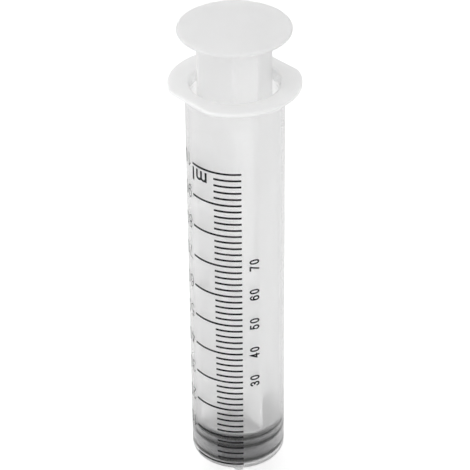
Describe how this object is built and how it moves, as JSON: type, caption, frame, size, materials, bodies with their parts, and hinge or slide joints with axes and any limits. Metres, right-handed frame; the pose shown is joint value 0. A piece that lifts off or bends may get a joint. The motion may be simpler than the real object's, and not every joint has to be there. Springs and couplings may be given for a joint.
{
  "type": "syringe",
  "caption": "Large hand syringe: translucent graduated barrel with a finger flange and a slip nozzle, and a cross-finned plunger with a ribbed rubber stopper.",
  "frame": {"origin": "centre of the nozzle's tip, the lowest point of the upright syringe", "axes": "+Z along the axis from the nozzle to the thumb disc, +X along the flange's finger lobes, -Y is the side with the printed scale"},
  "size_m": [0.0464, 0.0424, 0.1914],
  "materials": {
    "barrel_plastic": "natural polypropylene, milky and translucent, smooth from the mould",
    "scale_print": "matt black screen-printed ink",
    "stopper_rubber": "moulded dark grey rubber, satin",
    "plunger_plastic": "natural polypropylene, milky, smooth from the mould"
  },
  "bodies": {
    "barrel": {"barrel": "barrel_plastic", "scale_ink": "scale_print"},
    "stopper": {"rubber_stopper": "stopper_rubber"},
    "plunger": {"plunger_rod": "plunger_plastic"}
  },
  "joints": [
    {"name": "plunger_travel", "type": "slide", "parent": "barrel", "child": "stopper", "axis": [0, 0, 1], "range_m": [0, 0.1344]},
    {"name": "rod_turn", "type": "hinge", "parent": "stopper", "child": "plunger", "pos_m": [0, 0, 0.025], "axis": [0, 0, 1], "continuous": true}
  ]
}
